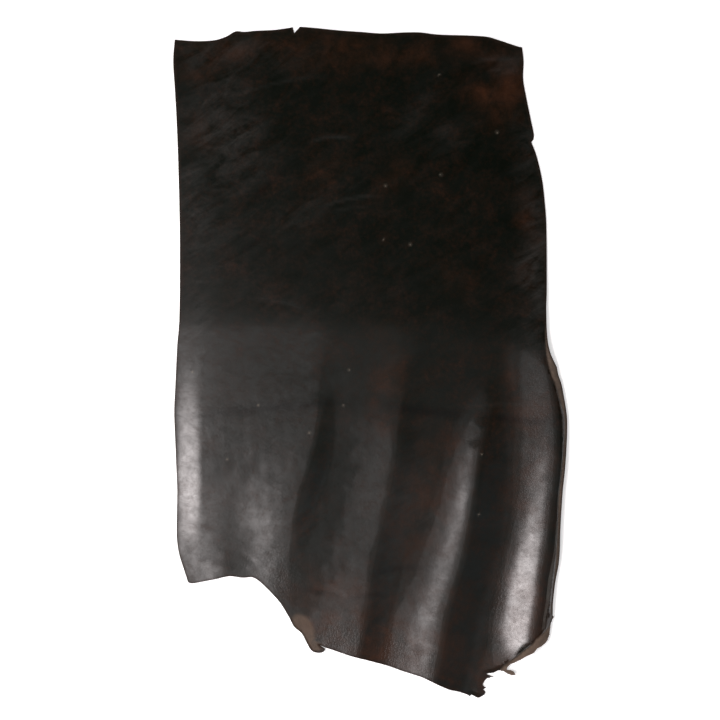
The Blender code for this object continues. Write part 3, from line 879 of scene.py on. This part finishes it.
def cut_edge():
    """The cut through the hide: brown fibre, darker where the dye has run into it."""
    material, tree, shader = new_material("cut_edge")
    nap = place_fibres(tree, EDGE_FINENESS)
    colour = blend_colour(tree, nap.outputs["Shade"], EDGE_FIBRE, EDGE_DYED)
    tree.links.new(colour, shader.inputs["Base Color"])
    shader.inputs["Roughness"].default_value = EDGE_ROUGH
    normal = bumped(tree, EDGE_BUMP, EDGE_HEIGHT, nap.outputs["Height"])
    tree.links.new(normal, shader.inputs["Normal"])
    return material


for finish in (grain_leather(), flesh_leather(), cut_edge()):
    mesh.materials.append(finish)

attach(hide_sheet, "root")
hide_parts("hide")

# ---------------------------------------------------------------------------------------
# The floor the hide lies on: one plain pale sheet, painted matt and lit from within so
# that it stays even. It lies a hair below the hide and isn't part of it.
# ---------------------------------------------------------------------------------------
FLOOR_SIZE, FLOOR_DROP = 14.0, 0.0004
FLOOR_WHITE, FLOOR_GLOW = (0.90, 0.90, 0.90, 1), 0.45
bpy.ops.mesh.primitive_plane_add(size=FLOOR_SIZE, location=(0, 0, -FLOOR_DROP))
floor = bpy.context.active_object
floor.name = "floor"
floor_paint, _, floor_shader = new_material("pale_floor")
floor_shader.inputs["Base Color"].default_value = FLOOR_WHITE
floor_shader.inputs["Roughness"].default_value = 1.0
floor_shader.inputs["Specular IOR Level"].default_value = 0.0
floor_shader.inputs["Emission Color"].default_value = (1, 1, 1, 1)
floor_shader.inputs["Emission Strength"].default_value = FLOOR_GLOW
floor.data.materials.append(floor_paint)


# ---------------------------------------------------------------------------------------
# Studio light: one large soft panel overhead, hung beyond the back edge and fading out
# over the hide, a dim one over the belly side, a small one over the back edge's head end,
# and plain soft fill from the four sides.
# ---------------------------------------------------------------------------------------
def soft_panel(name, at, aim, size, brightness, tint=(1.0, 1.0, 1.0)):
    """A rectangular lamp; its brightness is that of its face."""
    lamp = bpy.data.lights.new(name, "AREA")
    lamp.color = tint
    lamp.shape = "RECTANGLE"
    lamp.size, lamp.size_y = size
    lamp.energy = brightness * math.pi * size[0] * size[1]
    panel = bpy.data.objects.new(name, lamp)
    panel.location = at
    away = Vector(aim) - Vector(at)
    panel.rotation_euler = away.to_track_quat("-Z", "Y").to_euler()
    bpy.context.scene.collection.objects.link(panel)
    return lamp


def fade_stops(tree, value, stops):
    """Brightness along one side of a panel: rows of place in metres and share."""
    ramp = tree.nodes.new("ShaderNodeValToRGB")
    elements = ramp.color_ramp.elements
    start, end = stops[0][0], stops[-1][0]
    for place, level in stops:
        at = (place - start) / (end - start)
        element = elements[0] if at == 0 else elements[-1] if at == 1 else elements.new(at)
        element.color = (level, level, level, 1)
    tree.links.new(value, ramp.inputs["Fac"])
    return ramp.outputs["Color"]


def fading_panel(name, across, along, height, brightness, tint):
    """A level panel facing down, fading over its face by rows of place and share."""
    left, right, near, far = across[0][0], across[-1][0], along[0][0], along[-1][0]
    middle = ((left + right) / 2, (near + far) / 2)
    lamp = soft_panel(
        name, (*middle, height), (*middle, 0.0), (right - left, far - near), brightness, tint
    )
    lamp.use_nodes = True
    tree = lamp.node_tree
    face = shader_node(tree, "ShaderNodeNewGeometry").outputs["Parametric"]
    place = shader_node(tree, "ShaderNodeSeparateXYZ", {"Vector": face})
    level = blend_colour(
        tree, 1.0, fade_stops(tree, place.outputs["X"], across),
        fade_stops(tree, place.outputs["Y"], along), "MULTIPLY",
    )
    tree.links.new(level, tree.nodes["Emission"].inputs["Color"])


# The key panel is brightest well out beyond the back edge of the hide. Across runs from
# the back to the belly, along from the shank to the head, both from the hide's middle.
KEY_ACROSS = [
    (-2.35, 0.04), (-2.00, 0.12), (-1.75, 0.42), (-1.56, 0.90), (-1.42, 1.00),
    (-1.20, 0.88), (-1.00, 0.58), (-0.80, 0.24), (-0.64, 0.110), (-0.50, 0.054),
    (-0.34, 0.046), (-0.19, 0.051), (-0.125, 0.016), (-0.05, 0.018), (0.02, 0.021),
    (0.11, 0.019), (0.20, 0.008), (0.60, 0.006), (1.00, 0.0),
]
KEY_ALONG = [
    (-1.45, 1.22), (-0.80, 1.14), (-0.52, 0.90), (-0.36, 0.79), (-0.20, 0.83), (0.12, 0.95),
]
fading_panel("key_panel", KEY_ACROSS, KEY_ALONG, 2.5, 20.1, (1.0, 0.925, 0.925))
# The side panel is dim, hangs a little higher, and puts a little light in the hollows.
SIDE_ACROSS = [(0.0, 0.0), (0.25, 0.5), (0.5, 1.0), (1.5, 1.0), (3.7, 1.0)]
SIDE_ALONG = [(-2.4, 1.0), (-0.6, 1.0), (-0.25, 0.4), (0.1, 0.0)]
fading_panel("side_panel", SIDE_ACROSS, SIDE_ALONG, 2.6, 0.25, (0.93, 0.94, 1.03))
soft_panel("far_panel", (-1.02, 0.566, 2.5), (-1.02, 0.566, 0), (0.95, 0.86), 0.10)
soft_panel("fill_far", (0.2, 3.1, 1.3), (0.0, 0.0, 0.0), (2.4, 1.2), 3.4)
soft_panel("fill_left", (-3.1, 0.6, 1.3), (0.0, 0.2, 0.0), (1.8, 1.2), 3.0)
soft_panel(
    "fill_right", (3.1, -0.3, 1.0), (0.3, -0.3, 0.0), (2.4, 1.2), 1.15, (1.0, 0.92, 0.86)
)
soft_panel("fill_near", (0.2, -3.1, 1.3), (0.0, 0.0, 0.0), (2.4, 1.2), 3.0)

world = bpy.data.worlds.new("studio")
world.use_nodes = True
room = world.node_tree.nodes["Background"]
room.inputs["Color"].default_value = (0.97, 0.98, 1.0, 1)
room.inputs["Strength"].default_value = 0.02
bpy.context.scene.world = world
bpy.context.scene.view_settings.view_transform = "Standard"

# ---------------------------------------------------------------------------------------
# The camera looks straight down on the hide from three metres up and takes in all of it.
# ---------------------------------------------------------------------------------------
CAMERA_HEIGHT, VIEW_WIDTH, SENSOR = 3.0, 1.3978, 36.0
CAMERA_X, CAMERA_Y = -0.0190, 0.0045
camera_data = bpy.data.cameras.new("camera")
camera_data.sensor_width = SENSOR
camera_data.lens = SENSOR * CAMERA_HEIGHT / VIEW_WIDTH
camera = bpy.data.objects.new("camera", camera_data)
camera.location = (CAMERA_X, CAMERA_Y, CAMERA_HEIGHT)
bpy.context.scene.collection.objects.link(camera)
bpy.context.scene.camera = camera
